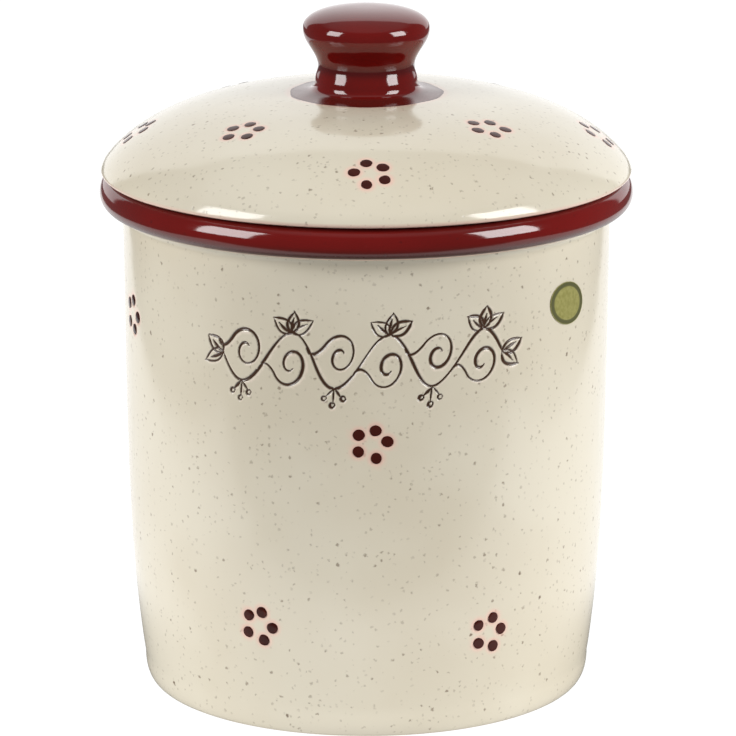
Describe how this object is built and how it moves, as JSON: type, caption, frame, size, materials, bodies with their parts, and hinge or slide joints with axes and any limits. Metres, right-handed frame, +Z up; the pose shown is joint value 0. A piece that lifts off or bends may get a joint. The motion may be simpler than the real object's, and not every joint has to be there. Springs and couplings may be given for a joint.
{
  "type": "rumtopf pot",
  "caption": "Straight-sided glazed stoneware fruit crock with a rolled red rim, a domed lift-off lid with a waisted red knob, and dot flowers.",
  "frame": {"origin": "centre of the foot, on the surface that the pot stands on", "axes": "+Z up along the axis of the crock, lid and knob; the decorated front faces -Y; +X is to the right seen from the front"},
  "size_m": [0.2112, 0.2112, 0.2734],
  "materials": {
    "cream_glaze": "glossy",
    "red_glaze": "glossy",
    "dot_glaze": "glossy",
    "foil": "satin foil"
  },
  "bodies": {
    "crock": {"crock_body": "cream_glaze", "crock_rim": "red_glaze", "crock_dots": "dot_glaze", "seal": "foil"},
    "lid": {"lid_dome": "cream_glaze", "lid_flange": "cream_glaze", "lid_knob": "red_glaze", "lid_dots": "dot_glaze"}
  },
  "joints": [
    {"name": "lid_lift", "type": "slide", "parent": "crock", "child": "lid", "axis": [0, 0, 1], "range_m": [0, 0.12]}
  ]
}
